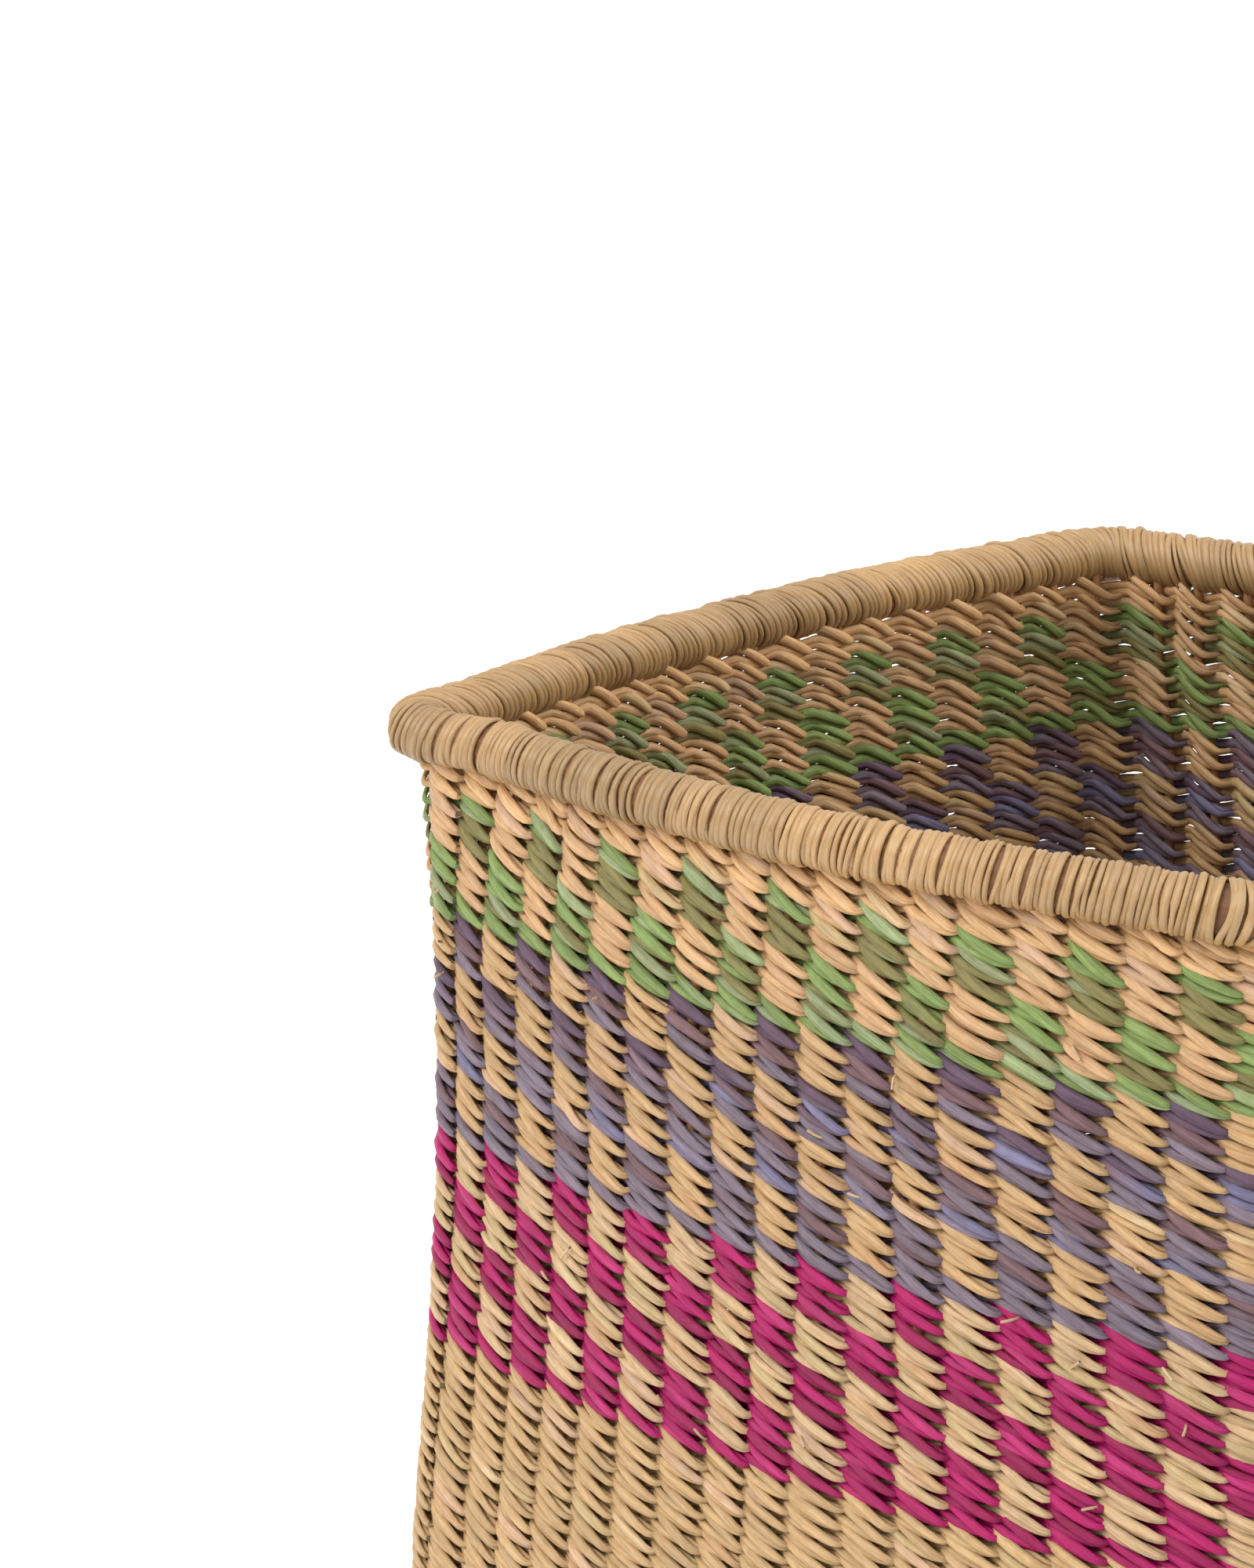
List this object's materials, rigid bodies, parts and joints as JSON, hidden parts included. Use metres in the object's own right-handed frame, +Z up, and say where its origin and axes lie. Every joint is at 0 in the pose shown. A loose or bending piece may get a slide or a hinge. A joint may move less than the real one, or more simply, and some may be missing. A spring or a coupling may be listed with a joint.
{
  "type": "woven basket",
  "caption": "Tall open basket twined from straw over upright stakes, a rounded square in plan, with a fat wrapped rim, coloured bands and a flat woven base.",
  "frame": {"origin": "middle of the underside, on the surface that the basket stands on", "axes": "+Z up; X runs along the two longer sides and Y along the two shorter ones"},
  "size_m": [0.3926, 0.3646, 0.44],
  "materials": {
    "natural_straw": "undyed straw twisted in pairs, satin sheen with long fibre streaks",
    "rim_straw": "flat undyed straw blades wound side by side, satin sheen",
    "stake_reed": "split reed, dull, darker than the weft",
    "green_straw": "straw dyed green and olive, satin sheen",
    "purple_straw": "straw dyed purple, blue-grey and brownish purple, satin sheen",
    "magenta_straw": "straw dyed magenta, satin sheen"
  },
  "bodies": {
    "root": {"rim_core": "stake_reed", "rim_wrap": "rim_straw", "front_stakes": "stake_reed", "back_stakes": "stake_reed", "left_stakes": "stake_reed", "right_stakes": "stake_reed", "corner_stakes": "stake_reed", "top_natural_weft": "natural_straw", "green_weft": "green_straw", "green_edge_row": "green_straw", "purple_weft": "purple_straw", "purple_edge_row": "purple_straw", "magenta_weft": "magenta_straw", "magenta_edge_row": "magenta_straw", "upper_body_weft": "natural_straw", "lower_body_weft": "natural_straw", "foot_rows": "natural_straw", "base_weft": "natural_straw", "base_stakes_inside": "stake_reed"}
  },
  "joints": []
}
